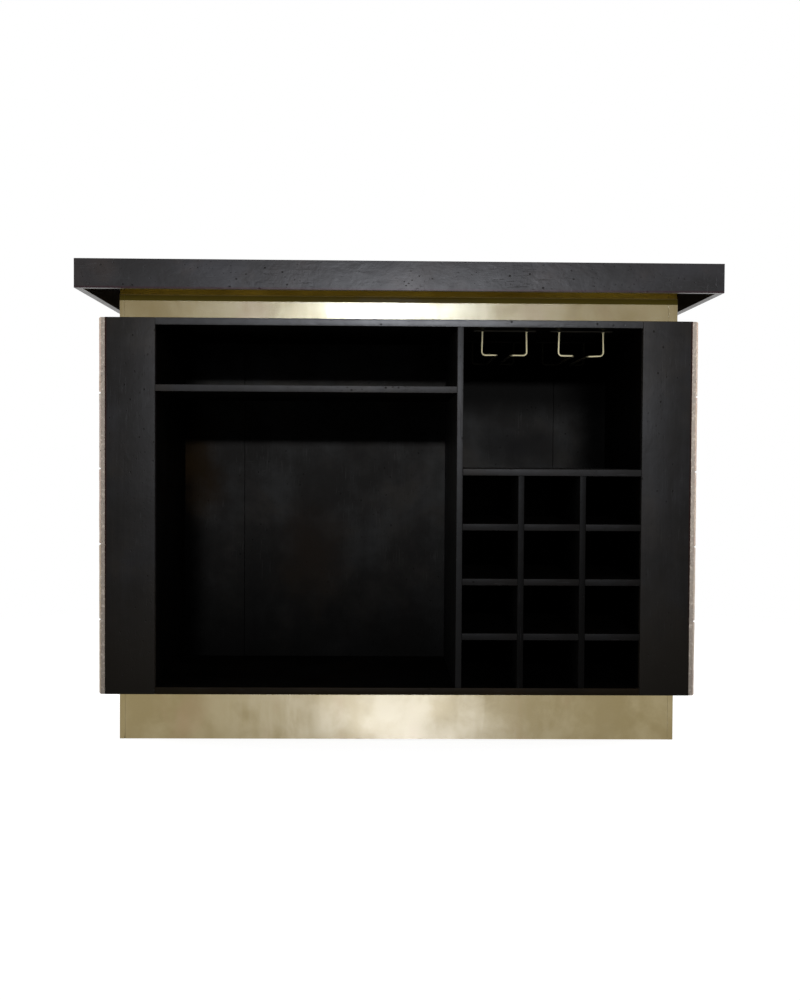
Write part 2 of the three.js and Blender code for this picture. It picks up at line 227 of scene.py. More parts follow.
def makeWorld(plan):
    world = bpy.data.worlds.new("studio")
    scene.world = world
    world.use_nodes = True
    tree = world.node_tree
    tree.nodes.clear()
    shown = addNode(tree, "ShaderNodeBackground", {"Color": plan["shown"], "Strength": 1.0})
    ambient = addNode(tree, "ShaderNodeBackground", {"Color": plan["ambient"], "Strength": plan["ambientStrength"]})
    mix = addNode(tree, "ShaderNodeMixShader", {0: seenRays(tree), 1: ambient.outputs[0], 2: shown.outputs[0]})
    tree.links.new(mix.outputs[0], addNode(tree, "ShaderNodeOutputWorld").inputs[0])


makeWorld(worldPlan)

# the floor takes shadows near the bar and turns plain white further off
floorPlan = {"radius": 14.0, "sides": 96, "color": (0.3, 0.3, 0.3), "glow": 0.93, "keptTo": 1.1, "whiteFrom": 2.6}


def makeFloor(plan):
    bm = bmesh.new()
    bmesh.ops.create_circle(bm, cap_ends=True, radius=plan["radius"], segments=plan["sides"])
    mesh = bpy.data.meshes.new("floor")
    bm.to_mesh(mesh)
    bm.free()
    made = addObject("floor", mesh)
    material = bpy.data.materials.new("paleFloor")
    material.use_nodes = True
    tree = material.node_tree
    tree.nodes.clear()
    place = addNode(tree, "ShaderNodeTexCoord").outputs["Object"]
    far = remap(tree, doVector(tree, "LENGTH", place), plan["keptTo"], plan["whiteFrom"])
    seen = seenRays(tree)
    matte = addNode(tree, "ShaderNodeBsdfDiffuse", {"Color": plan["color"]})
    glow = addNode(tree, "ShaderNodeEmission", {"Strength": times(tree, seen, plan["glow"])})
    near = addNode(tree, "ShaderNodeAddShader", {0: matte.outputs[0], 1: glow.outputs[0]})
    white = addNode(tree, "ShaderNodeEmission", {"Strength": 1.0})
    farSeen = times(tree, far, seen)
    both = addNode(tree, "ShaderNodeMixShader", {0: farSeen, 1: near.outputs[0], 2: white.outputs[0]})
    tree.links.new(both.outputs[0], addNode(tree, "ShaderNodeOutputMaterial").inputs[0])
    mesh.materials.append(material)
    made.visible_shadow = False


makeFloor(floorPlan)

# a small spot over the camera throws the shadows in the bays
spotPlan = {
    "place": (0.05, -8.0, 2.51), "aim": (0, -0.26, 1.44), "cone": 23, "blur": 1.0, "radius": 0.15, "power": 2350,
}
# soft boxes, each with place, aim, size, power and tint: the first gives only sheen, the others give none
lampPlan = {
    "sheen": ((0.16, -3.9, 1.42), (0, -0.25, 0.98), (1.12, 0.4), 290, (0.89, 0.92, 1.0)),
    "left": ((-3.4, 0.35, 1.5), (-0.66, 0.05, 0.55), (1.6, 1.6), 55, (1, 1, 1)),
    "right": ((3.4, 0.35, 1.5), (0.66, 0.05, 0.55), (1.6, 1.6), 55, (1, 1, 1)),
    "back": ((-0.7, 3.6, 1.7), (0, 0.26, 0.55), (2.0, 1.6), 90, (1, 1, 1)),
    "above": ((0.2, 0.5, 3.6), (0, 0.1, 1.0), (2.2, 1.6), 50, (1, 1, 1)),
}
# lamps for one group of pieces each: the plinth's stands under the floor, as its mirror image in a shiny floor
# would; a strip throws the light of the brass under the overhang
groupPlan = {
    "neckGlint": ((0.0, -3.9, 1.38), (0, -0.22, 0.98), (0.26, 0.2), 11.3, (0.47, 0.6, 1.0)),
    "plinthGlint": ((0.06, -3.9, -0.56), (0, -0.22, 0.05), (0.2, 0.2), 11.2, (0.51, 0.6, 1.0)),
    "overhang": ((0, -0.2235, 1.02), (0, -1, 1.02), (1.29, 0.012), 0.61, (0.94, 1.0, 0.3)),
    "tilesLeft": ((-1.0, -1.4, 0.05), (-0.66, -0.25, 0.25), (0.3, 0.3), 4.6, (1, 0.98, 0.96)),
    "tilesRight": ((1.0, -1.4, 0.62), (0.66, -0.25, 0.55), (0.3, 0.3), 9, (1, 0.98, 0.96)),
}


def placeLamp(name, data, place, aim, sheenOnly=False):
    made = addObject(name, data)
    made.location = place
    made.rotation_mode = "QUATERNION"
    made.rotation_quaternion = (Vector(aim) - Vector(place)).to_track_quat("-Z", "Y")
    made.visible_camera = False
    made.visible_diffuse, made.visible_glossy = not sheenOnly, sheenOnly
    return made


def makeSpot(plan):
    data = bpy.data.lights.new("keySpot", "SPOT")
    data.energy = plan["power"]
    data.spot_size = math.radians(plan["cone"])
    data.spot_blend = plan["blur"]
    data.shadow_soft_size = plan["radius"]
    placeLamp("keySpot", data, plan["place"], plan["aim"])


def makeSoftBox(name, row, sheenOnly):
    place, aim, size, power, tint = row
    data = bpy.data.lights.new(name + "Lamp", "AREA")
    data.shape = "RECTANGLE"
    data.size, data.size_y = size
    data.energy = power
    data.color = tint
    return placeLamp(name + "Lamp", data, place, aim, sheenOnly)


def lightOnly(lamp, name):
    lit = bpy.data.collections.new(name + "Pieces")
    lamp.light_linking.receiver_collection = lit
    return lit


makeSpot(spotPlan)
lamps = {name: makeSoftBox(name, row, name == "sheen") for name, row in lampPlan.items()}
litBy = {name: lightOnly(makeSoftBox(name, row, name.endswith("Glint")), name) for name, row in groupPlan.items()}
litBy["sheen"] = lightOnly(lamps["sheen"], "sheen")
print("camera, floor and lamps set")

# shared effects; the scales are repeats a metre, along and across the grain where there are three
woodPattern = {
    "figure": (1.6, 22, 22),
    "fibre": (9, 420, 420),
    "pores": (34, 330, 330),
    "porePatches": (6, 30, 30),
    "dents": (44, 58, 58),
    "nicks": (70, 130, 130),
    "scored": (22, 330, 330),
    "crossed": (420, 60, 60),
    "hand": (30, 48, 48),
    "blotch": 7.5,
    "hue": 6.5,
    "smudge": 11.0,
    "dentPatches": 8.0,
    "nickPatches": 10.0,
    "markPatches": 8.0,
    "fibreHeight": 0.12,
}


def makeWoodGroup(plan):
    group, given = newGroup("woodFigure", {"Seed": 0.0, "Streak": 0.5})
    seed, streak = given["Seed"], given["Streak"]
    shift = addNode(group, "ShaderNodeCombineXYZ", {0: seed, 1: seed}).outputs[0]
    place = doVector(group, "ADD", given["Vector"], shift)
    figure = cloud(group, place, plan["figure"], 5.0, 0.6, 0.6)
    fibre = cloud(group, place, plan["fibre"], 3.0, 0.6)
    blotch = cloud(group, place, plan["blotch"], 5.0, 0.6, 0.1)
    hue = cloud(group, place, plan["hue"], 4.0, 0.6, 0.2)
    smudge = cloud(group, place, plan["smudge"], 4.0, 0.65, 0.8)
    hand = cloud(group, place, plan["hand"], 3.0, 0.5, 0.4)
    fine = times(group, fibre, times(group, streak, 0.4))
    tone = doMath(group, "MULTIPLY_ADD", figure, streak, fine)
    tone = doMath(group, "MULTIPLY_ADD", blotch, doMath(group, "MULTIPLY_ADD", streak, -1.4, 1.0), tone)
    patches = remap(group, cloud(group, place, plan["porePatches"]), 0.42, 0.62)
    pores = specks(group, place, plan["pores"], 0.16, 0.05, patches)
    patches = remap(group, cloud(group, place, plan["dentPatches"], 2.0), 0.45, 0.55)
    dents = specks(group, place, plan["dents"], 0.13, 0.04, patches)
    patches = remap(group, cloud(group, place, plan["nickPatches"], 2.0), 0.47, 0.57)
    nicks = specks(group, place, plan["nicks"], 0.17, 0.06, patches, turn=(0.3, 0.2, 0.4))
    scored = cloud(group, place, plan["scored"], 2.0, turn=(0.1, 0.1, 0.12))
    crossed = cloud(group, place, plan["crossed"], 2.0, turn=(0.1, 0.2, 0.1))
    lines = doMath(group, "MAXIMUM", remap(group, scored, 0.6, 0.7), remap(group, crossed, 0.66, 0.74))
    marks = times(group, lines, remap(group, cloud(group, place, plan["markPatches"], 3.0), 0.48, 0.6))
    height = times(group, fibre, times(group, streak, plan["fibreHeight"]))
    height = addHeights(group, height, [
        (figure, 0.3), (smudge, 0.6), (hand, 0.55), (pores, -0.12), (dents, -0.9), (nicks, -0.3), (marks, -0.12),
    ])
    dark = doMath(group, "MAXIMUM", pores, doMath(group, "MAXIMUM", dents, times(group, nicks, 0.6)))
    found = {"Tone": tone, "Hue": hue, "Pores": dark, "Marks": marks, "Smudge": smudge, "Height": height}
    return endGroup(group, found)


# bare, paler edges, broken up
def makeWearGroup():
    group, given = newGroup("edgeWear", {"Radius": 0.002})
    rounded = addNode(group, "ShaderNodeBevel", {"Radius": given["Radius"]}, samples=4).outputs[0]
    plain = addNode(group, "ShaderNodeNewGeometry").outputs["Normal"]
    edge = remap(group, doVector(group, "DOT_PRODUCT", rounded, plain), 0.995, 0.84)
    broken = remap(group, cloud(group, given["Vector"], 38.0, 4.0, 0.7), 0.38, 0.62)
    return endGroup(group, {"Wear": times(group, edge, broken)})


brassPattern = {
    "stain": (7, 7, 6),
    "warm": (8, 8, 5),
    "streak": (60, 60, 7),
    "brushed": (700, 700, 30),
    "film": (9, 9, 12),
    "spots": 85.0,
    "spotPatches": 14.0,
}


def makeBrassGroup(plan):
    group, given = newGroup("brassPatina", {})
    place = given["Vector"]
    stain = cloud(group, place, plan["stain"], 5.0, 0.6, 0.3)
    warm = cloud(group, place, plan["warm"], 3.0, 0.5, 0.3, move=(3.1, 1.7, 4.0))
    streak = cloud(group, place, plan["streak"], 3.0, 0.6)
    brushed = cloud(group, place, plan["brushed"], 2.0, 0.6)
    patches = remap(group, cloud(group, place, plan["spotPatches"], 2.0), 0.52, 0.64)
    spots = specks(group, place, plan["spots"], 0.13, 0.04, patches)
    film = cloud(group, place, plan["film"], 4.0, 0.6, 0.2, move=(0.4, 5.0, 1.3))
    film = doMath(group, "MULTIPLY_ADD", streak, 0.35, times(group, film, 0.65))
    height = times(group, stain, 0.4)
    height = addHeights(group, height, [(brushed, 0.02), (streak, 0.12), (spots, -0.02)])
    return endGroup(group, {"Stain": stain, "Warm": warm, "Spots": spots, "Film": film, "Height": height})


stonePattern = {"warm": 22.0, "grit": 420.0, "clumps": 150.0, "pits": 210.0, "pitPatches": 46.0, "vein": (9, 9, 24)}


def makeStoneGroup(plan):
    group, given = newGroup("stoneGrain", {})
    place = given["Vector"]
    warm = cloud(group, place, plan["warm"], 4.0, 0.6, 0.6)
    grit = cloud(group, place, plan["grit"], 4.0, 0.7)
    clumps = cloud(group, place, plan["clumps"], 3.0, 0.6)
    patches = remap(group, cloud(group, place, plan["pitPatches"], 2.0), 0.5, 0.62)
    pits = specks(group, place, plan["pits"], 0.26, 0.08, patches)
    speck = doMath(group, "MAXIMUM", times(group, remap(group, grit, 0.42, 0.3), 0.8), pits)
    pale = remap(group, clumps, 0.52, 0.68)
    vein = cloud(group, place, plan["vein"], 5.0, 0.6, 1.5, turn=(0.4, 0.3, 0.2))
    height = addHeights(group, times(group, clumps, 0.6), [(grit, 0.35), (pits, -0.7)])
    return endGroup(group, {"Warm": warm, "Speck": speck, "Pale": pale, "Vein": vein, "Height": height})


woodFigure = makeWoodGroup(woodPattern)
edgeWear = makeWearGroup()
brassPatina = makeBrassGroup(brassPattern)
stoneGrain = makeStoneGroup(stonePattern)

grainTurns = {"x": (0, 0, 0), "y": (0, 0, math.pi / 2), "z": (0, math.pi / 2, 0)}


# how fine the ragged edge is, how far it strays, and how much of the colour it takes
stainAndShadePlan = {"fine": 9.0, "stray": 0.5, "share": 0.92}
patchPlan = {"fine": 14.0, "stray": 1.6, "from": 2.2, "to": 0.9, "share": 0.75}


# each entry is a stain or a painted shade; it sets in between two places along an axis, |X on both ends alike, and
# may keep to the right of a third
def addStainsAndShade(tree, place, color, stains, plan):
    for side, near, far, tint, *rightOf in stains:
        across = axisOf(tree, place, side[-1])
        if side[0] == "|":
            across = doMath(tree, "ABSOLUTE", across)
        width = far - near
        stray = width * plan["stray"]
        ragged = doMath(tree, "MULTIPLY_ADD", cloud(tree, place, plan["fine"], 4.0), stray, across)
        reach = remap(tree, ragged, near + stray / 2, far + stray / 2)
        for start in rightOf:
            beside = remap(tree, axisOf(tree, place, "X"), start, start + 0.01)
            reach = times(tree, reach, beside)
        color = mixColor(tree, times(tree, reach, plan["share"]), color, tint)
    return color


# a patch lies round a place on the board: middle and reach across and up, and its colour
def addPatches(tree, place, color, patches, plan):
    for middleX, middleZ, reachX, reachZ, tint in patches:
        around = stretch(tree, place, (1 / reachX, 0, 1 / reachZ), move=(-middleX / reachX, 0, -middleZ / reachZ))
        edge = cloud(tree, place, plan["fine"], 4.0)
        ragged = doMath(tree, "MULTIPLY_ADD", edge, plan["stray"], doVector(tree, "LENGTH", around))
        color = mixColor(tree, remap(tree, ragged, plan["from"], plan["to"], 0.0, plan["share"]), color, tint)
    return color


def makeWood(name, plan):
    material, tree, shader, place = newMaterial(name)
    turned = stretch(tree, place, (1, 1, 1), grainTurns[plan["grain"]])
    figure = useGroup(tree, woodFigure, {"Vector": turned, "Seed": plan["seed"], "Streak": plan["streak"]})
    wear = useGroup(tree, edgeWear, {"Vector": place, "Radius": plan["wearReach"]})["Wear"]
    deep, cool, warm = plan["shades"]
    pale = mixColor(tree, remap(tree, figure["Hue"], 0.42, 0.6), cool, warm)
    color = mixColor(tree, remap(tree, figure["Tone"], 0.4, 0.68), deep, pale)
    color = addCoats(tree, color, [
        (figure["Pores"], 0.75, plan["pore"]), (figure["Marks"], plan["marks"], plan["mark"]),
        (wear, plan["wear"], plan["worn"]),
    ])
    color = addStainsAndShade(tree, place, color, plan["stains"], stainAndShadePlan)
    color = addPatches(tree, place, color, plan["patches"], patchPlan)
    rough = doMath(tree, "MULTIPLY_ADD", figure["Smudge"], plan["smudge"], plan["rough"] - plan["smudge"] / 2)
    rough = doMath(tree, "MULTIPLY_ADD", figure["Pores"], 0.2, rough)
    rough = doMath(tree, "MULTIPLY_ADD", figure["Marks"], 0.1, rough, True)
    setSurface(tree, shader, color, rough, figure["Height"], plan["relief"])
    shader.inputs["Specular IOR Level"].default_value = plan["gloss"]
    return material


# what every wood starts from; the shades are the deep, the cool and the warm one
baseWood = {
    "grain": "x",
    "seed": 0.0,
    "streak": 0.35,
    "shades": ((0.0125, 0.0115, 0.0108), (0.024, 0.0235, 0.025), (0.0255, 0.0225, 0.02)),
    "pore": (0.005, 0.0045, 0.004),
    "mark": (0.05, 0.05, 0.052),
    "marks": 0.2,
    "worn": (0.08, 0.077, 0.074),
    "wear": 0.35,
    "wearReach": 0.0012,
    "stains": [],
    "patches": [],
    "rough": 0.42,
    "smudge": 0.16,
    "gloss": 0.03,
    "relief": 0.0007,
}
topWood = {
    "shades": ((0.015, 0.014, 0.0142), (0.027, 0.0265, 0.0295), (0.031, 0.0255, 0.024)),
    "gloss": 0.09, "relief": 0.0014, "marks": 0.3, "streak": 0.12,
    "stains": [("Z", 1.0085, 1.0045, (0.02, 0.006, 0.009))],
}
# a darker copy of the stain: painted shade for the bottle grid and, through it, the uprights and the divider
gridWood = {
    "shades": ((0.0065, 0.006, 0.0056), (0.0118, 0.0116, 0.0118), (0.0125, 0.011, 0.0102)),
    "wear": 0.25, "gloss": 0.02,
}
woodPlans = {
    "topWoodLong": topWood,
    "topWoodEnds": {**topWood, "grain": "y", "seed": 4.0},
    "stileWood": {
        "grain": "z", "seed": 1.3,
        # the first entry is a dark line along the tiles; the second is painted shade, the stiles darker and browner
        # towards the floor
        "stains": [("|X", 0.6475, 0.6525, (0.02, 0.0045, 0.003)), ("Z", 0.45, 0.15, (0.0205, 0.0172, 0.0132))],
    },
    "railWood": {
        "seed": 2.1,
        "shades": ((0.008, 0.0075, 0.0073), (0.0155, 0.0152, 0.016), (0.0165, 0.0148, 0.0135)),
        "gloss": 0.14, "rough": 0.385, "wear": 0.4, "marks": 0.4, "relief": 0.0012,
    },
    "baseRailWood": {
        "seed": 6.1,
        "shades": ((0.013, 0.009, 0.0046), (0.0255, 0.0185, 0.0098), (0.028, 0.0178, 0.0085)),
        "gloss": 0.02,
    },
    "shelfWood": {"seed": 3.7, "gloss": 0.045, "wear": 0.3},
    "rackShelfWood": {
        "seed": 5.7,
        "shades": ((0.0105, 0.0097, 0.009), (0.0195, 0.019, 0.0198), (0.021, 0.0185, 0.0165)),
        "gloss": 0.028,
    },
    "gridWood": {**gridWood, "seed": 8.2},
    # darker still than the grid boards: painted shade for the grid's uprights
    "uprightWood": {
        **gridWood, "grain": "z", "seed": 5.2,
        "shades": ((0.0032, 0.003, 0.0028), (0.006, 0.0058, 0.006), (0.0063, 0.0055, 0.005)),
        "gloss": 0.013,
    },
    "dividerWood": {
        **gridWood, "grain": "z", "seed": 6.6, "gloss": 0.045,
        # painted shade: the divider darker towards the bottom
        "stains": [("Z", 0.66, 0.42, (0.0035, 0.0033, 0.0033))],
    },
    # a near-black copy of the stain: painted shade for the bays' linings and for the faces that lie in shade
    "liningWood": {
        "grain": "z", "seed": 7.9,
        "shades": ((0.0009, 0.0008, 0.0007), (0.0024, 0.0022, 0.0021), (0.003, 0.0023, 0.0018)),
        "gloss": 0.005,
    },
    "backWood": {
        "grain": "z", "seed": 11.3,
        "shades": ((0.0125, 0.0122, 0.012), (0.0235, 0.024, 0.0245), (0.0235, 0.0222, 0.021)),
        "mark": (0.045, 0.045, 0.045),
        "marks": 0.25, "gloss": 0.0, "smudge": 0.22, "relief": 0.0012, "streak": 0.15, "wear": 0.0,
        "stains": [
            # painted shade: darker towards the floor, darker at the top of the right bay as a shadow under the deck,
            # and darker at both ends
            ("Z", 0.61, 0.06, (0.0034, 0.0034, 0.0034)), ("Z", 0.72, 0.8, (0.004, 0.004, 0.004), 0.135),
            ("X", -0.47, -0.537, (0.0003, 0.0003, 0.0003)), ("X", 0.41, 0.515, (0.0003, 0.0003, 0.0003)),
        ],
        "patches": [
            (-0.218, 0.387, 0.085, 0.14, (0.0125, 0.0098, 0.0078)),
            # painted light: the second patch is a warm lit spot near the left bay's back corner
            (-0.5, 0.62, 0.06, 0.13, (0.0105, 0.0064, 0.0028)),
            (0.33, 0.668, 0.13, 0.055, (0.0085, 0.0085, 0.0088)),
        ],
    },
    "hiddenBoard": {
        "seed": 9.4,
        "shades": ((0.17, 0.125, 0.075), (0.3, 0.235, 0.15), (0.32, 0.24, 0.145)),
        "pore": (0.08, 0.055, 0.03),
        "mark": (0.36, 0.3, 0.22),
        "worn": (0.36, 0.29, 0.2),
        "rough": 0.72, "gloss": 0.2,
    },
    # paler wood for the drop edges' undersides: partly their own raw edge, partly painted light thrown up from the
    # floor
    "rimWood": {
        "seed": 12.6,
        "shades": ((0.06, 0.054, 0.05), (0.11, 0.105, 0.1), (0.12, 0.105, 0.09)),
        "gloss": 0.5, "rough": 0.4,
    },
    "underWood": {
        "seed": 10.7,
        "shades": ((0.018, 0.013, 0.009), (0.035, 0.026, 0.019), (0.04, 0.027, 0.018)),
    },
}
woods = {name: makeWood(name, {**baseWood, **plan}) for name, plan in woodPlans.items()}


def makeBrass(name, plan):
    material, tree, shader, place = newMaterial(name)
    moved = stretch(tree, place, (1, 1, 1), move=(plan["shift"], 0, 0))
    patina = useGroup(tree, brassPatina, {"Vector": moved})
    wear = useGroup(tree, edgeWear, {"Vector": place, "Radius": plan["wearReach"]})["Wear"]
    bright, dull, rosy = plan["shades"]
    color = mixColor(tree, remap(tree, patina["Stain"], 0.5 - plan["blend"], 0.5 + plan["blend"]), bright, dull)
    color = addCoats(tree, color, [
        (remap(tree, patina["Warm"], 0.52, 0.72), 0.6, rosy), (patina["Spots"], 0.25, plan["spot"]),
        (wear, plan["wear"], plan["worn"]),
    ])
    rough = remap(tree, patina["Film"], 0.3, 0.7, plan["rough"] - 0.03, plan["rough"] + 0.03)
    metal = 1.0
    if "tarnish" in plan:  # painted shade: the rear of the racks is blackened and loses its metal
        reach = remap(tree, axisOf(tree, place, "Y"), plan["tarnishFrom"], plan["tarnishTo"])
        color = mixColor(tree, times(tree, reach, 0.95), color, plan["tarnish"])
        metal = doMath(tree, "SUBTRACT", 1.0, reach)
    if "unpolished" in plan:  # painted shadow: a dark, dull strip between two heights under the top's overhang
        high = axisOf(tree, place, "Z")
        low, top = plan["unpolished"]
        above, below = remap(tree, high, low - 0.001, low + 0.001), remap(tree, high, top + 0.002, top - 0.002)
        dim = times(tree, above, below)
        color = mixColor(tree, dim, color, plan["dim"])
        rough = doMath(tree, "MULTIPLY_ADD", dim, 0.4, rough)
    setSurface(tree, shader, color, rough, patina["Height"], 0.0006)
    setInput(tree, shader.inputs["Coat Weight"], remap(tree, patina["Film"], 0.32, 0.66, 0.0, plan["film"]))
    setInput(tree, shader.inputs["Metallic"], metal)
    facing = addNode(tree, "ShaderNodeNewGeometry").outputs["Normal"]
    setInput(tree, shader.inputs["Tangent"], doVector(tree, "CROSS_PRODUCT", facing, (0, 0, 1)))
    for label, value in plan["finish"].items():
        shader.inputs[label].default_value = value
    return material


# the shades are the bright, the dull and the rosy one
neckPlan = {
    "shades": ((0.255, 0.207, 0.113), (0.2, 0.155, 0.075), (0.235, 0.176, 0.1)),
    "spot": (0.1, 0.075, 0.036),
    "worn": (0.42, 0.35, 0.2),
    "wear": 0.3,
    "wearReach": 0.0014,
    "blend": 0.16,
    "shift": 0.0,
    "rough": 0.159,
    "film": 0.06,
    "finish": {"Anisotropic": 0.85, "Specular IOR Level": 0.5, "Coat Roughness": 0.2, "Coat IOR": 1.5},
}
plinthPlan = {
    **neckPlan,
    "shades": ((0.3, 0.247, 0.136), (0.24, 0.19, 0.094), (0.285, 0.205, 0.115)),
    "rough": 0.205, "blend": 0.11, "shift": -0.09, "finish": {**neckPlan["finish"], "Anisotropic": 0.2},
}
wirePlan = {
    **neckPlan,
    "shades": ((0.72, 0.67, 0.45), (0.6, 0.54, 0.34), (0.66, 0.56, 0.36)),
    "tarnish": (0.004, 0.0034, 0.0025),
    "tarnishFrom": -0.171, "tarnishTo": -0.162, "rough": 0.42, "film": 0.0,
    "finish": {"Anisotropic": 0.0, "Specular IOR Level": 0.02},
}
# the plates and the screws are a dark brass: painted shade, as they hang in the deck's shadow
platePlan = {
    **wirePlan,
    "shades": ((0.062, 0.059, 0.05), (0.03, 0.028, 0.023), (0.045, 0.04, 0.033)),
    "worn": (0.06, 0.055, 0.04),
    "tarnishFrom": -0.187, "tarnishTo": -0.1815,
}
# painted shadow and reflection: the neck's strip just under the top's overhang is darkened and dulled
neckPlan.update({"unpolished": (0.9857, 0.9985), "dim": (0.075, 0.055, 0.0075)})
neckBrass = makeBrass("neckBrass", neckPlan)
plinthBrass = makeBrass("plinthBrass", plinthPlan)
wireBrass = makeBrass("wireBrass", wirePlan)
plateBrass = makeBrass("plateBrass", platePlan)

tilePaint = {
    "sand": (0.47, 0.377, 0.297),
    "rose": (0.46, 0.338, 0.287),
    "grey": (0.43, 0.392, 0.353),
    "ochre": (0.46, 0.387, 0.259),
    "speck": (0.11, 0.08, 0.068),
    "pale": (0.62, 0.55, 0.48),
}
groutPaint = {**tilePaint, "sand": (0.3, 0.26, 0.22), "rose": (0.27, 0.23, 0.2), "grey": (0.24, 0.22, 0.2)}


def makeStone(name, plan):
    material, tree, shader, place = newMaterial(name)
    grain = useGroup(tree, stoneGrain, {"Vector": place})
    shade = addNode(tree, "ShaderNodeAttribute", attribute_name="tileShade").outputs["Color"]
    greyness, ochreness, _ = addNode(tree, "ShaderNodeSeparateColor", {0: shade}).outputs
    color = mixColor(tree, remap(tree, grain["Warm"], 0.38, 0.62), plan["sand"], plan["rose"])
    color = addCoats(tree, color, [
        (greyness, 1.0, plan["grey"]), (ochreness, 1.0, plan["ochre"]),
        (remap(tree, grain["Vein"], 0.5, 0.7), 0.45, plan["grey"]),
        (grain["Pale"], 0.45, plan["pale"]), (grain["Speck"], 0.7, plan["speck"]),
    ])
    rough = doMath(tree, "MULTIPLY_ADD", grain["Pale"], -0.12, 0.86)
    setSurface(tree, shader, color, rough, grain["Height"], 0.0012)
    shader.inputs["Specular IOR Level"].default_value = 0.25
    return material


tileStone = makeStone("tileStone", tilePaint)
groutSand = makeStone("groutSand", groutPaint)
print("materials made")


def camelName(nodeName):
    first, *rest = nodeName.split("_")
    return first + "".join(word.capitalize() for word in rest)


# the operators give new parts in any order, so each mesh is sorted by place
def sortByPlace(parts, placeOf):
    for index, part in enumerate(sorted(parts, key=lambda part: placeOf(part)[:])):
        part.index = index
    parts.sort()


# turns a bmesh into the finished piece that takes its node's place
def addPiece(nodeName, bm, materials, smoothTo=0.7, closed=True):
    if closed:
        bmesh.ops.recalc_face_normals(bm, faces=bm.faces)
    sortByPlace(bm.verts, lambda v: v.co)
    sortByPlace(bm.faces, lambda f: f.calc_center_median())
    name = camelName(nodeName)
    mesh = bpy.data.meshes.new(name)
    bm.to_mesh(mesh)
    bm.free()
    made = addObject(name, mesh)
    for material in materials:
        mesh.materials.append(material)
    mesh.shade_smooth()
    mesh.set_sharp_from_angle(angle=smoothTo)
    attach(made, "root")
    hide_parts(nodeName)
    return made


def bevelEdges(bm, edges, width, segments):
    bmesh.ops.bevel(
        bm, geom=edges, offset=width, offset_type="OFFSET", segments=segments, profile=0.5,
        affect="EDGES", clamp_overlap=True, material=-1,
    )


def moveBy(bm, verts, offset):
    bmesh.ops.translate(bm, vec=offset, verts=verts)


def shadeFaces(verts, layer, shade, index=0):
    for f in {f for v in verts for f in v.link_faces}:
        f.material_index = index
        for loop in f.loops:
            loop[layer] = shade


def uprightEdges(bm):
    return [e for e in bm.edges if abs(e.verts[0].co.z - e.verts[1].co.z) > 0.001]


def openEdges(verts):
    found = {e for v in verts for e in v.link_edges if e.is_boundary}
    return sorted(found, key=lambda e: (e.verts[0].co + e.verts[1].co)[:])


def splitBy(bm, point, away, **settings):
    geometry = list(bm.verts) + list(bm.edges) + list(bm.faces)
    return bmesh.ops.bisect_plane(bm, geom=geometry, dist=1e-7, plane_co=point, plane_no=away, **settings)


# draws a new row out of the edges; gives its vertices and its edges
def growEdges(bm, edges):
    grown = bmesh.ops.extrude_edge_only(bm, edges=edges)["geom"]
    verts = [g for g in grown if isinstance(g, bmesh.types.BMVert)]
    fresh = set(verts)
    return verts, [g for g in grown if isinstance(g, bmesh.types.BMEdge) and fresh.issuperset(g.verts)]


# boards keep their node's shape, with the arrises rounded and the back's seams where the photo has them
boardPlan = {
    "arris": 0.0004,
    "seamArris": 0.0014,
    "segments": 3,
    "sharp": 0.35,
    "seamFrom": 0.4,
    "seamShift": {-1: 0.007, 1: 0.0115},
    "smoothTo": 0.3,
}
boards = {
    "railWood": ["deck_board"],
    "baseRailWood": ["base_board"],
    "stileWood": ["stile_left", "stile_right"],
    "liningWood": ["bay_lining_left", "bay_lining_right"],
    "backWood": ["back_board_left", "back_board_centre", "back_board_right"],
    "dividerWood": ["centre_divider"],
    "shelfWood": ["left_bay_shelf"],
    "rackShelfWood": ["rack_shelf"],
    "uprightWood": ["bottle_upright_1", "bottle_upright_2"],
    "gridWood": ["bottle_shelf_1", "bottle_shelf_2", "bottle_shelf_3"],
}
# the side that lies in shade, which takes the near-black lining wood as painted shade: 1 for the top, -1 for the
# underside
shadeSides = {"railWood": -1, "baseRailWood": 1, "shelfWood": -1, "gridWood": 1}


def roundBoard(nodeName, wood, plan):
    bm = bmesh.new()
    bm.from_mesh(nodes[nodeName].data)
    bmesh.ops.remove_doubles(bm, verts=bm.verts, dist=1e-6)
    bmesh.ops.dissolve_limit(bm, angle_limit=0.01, verts=bm.verts, edges=bm.edges)
    isBack = wood == "backWood"
    if isBack:
        for way, shift in plan["seamShift"].items():
            seam = [v for v in bm.verts if 0 < v.co.x * way < plan["seamFrom"]]
            moveBy(bm, seam, (shift, 0, 0))
    edges = [e for e in bm.edges if e.is_manifold and e.is_convex and e.calc_face_angle() > plan["sharp"]]
    bevelEdges(bm, edges, plan["seamArris" if isBack else "arris"], plan["segments"])
    # painted shade: faces on the shaded side take the near-black lining wood
    for f in bm.faces:
        f.material_index = 1 if f.normal.z * shadeSides.get(wood, 0) > 0.9 else 0
    made = addPiece(nodeName, bm, [woods[wood], woods["liningWood"]], plan["smoothTo"])
    litBy["sheen"].objects.link(made)


for wood, nodeNames in boards.items():
    for nodeName in nodeNames:
        roundBoard(nodeName, wood, boardPlan)
# boards inside keep the node and get a material
for nodeName, node in nodes.items():
    if any(word in nodeName for word in ("frame_", "cross_rail", "end_w", "guest_side_panel")):
        node.data.materials.clear()
        node.data.materials.append(woods["liningWood" if nodeName == "guest_side_panel" else "hiddenBoard"])
print("boards rounded")

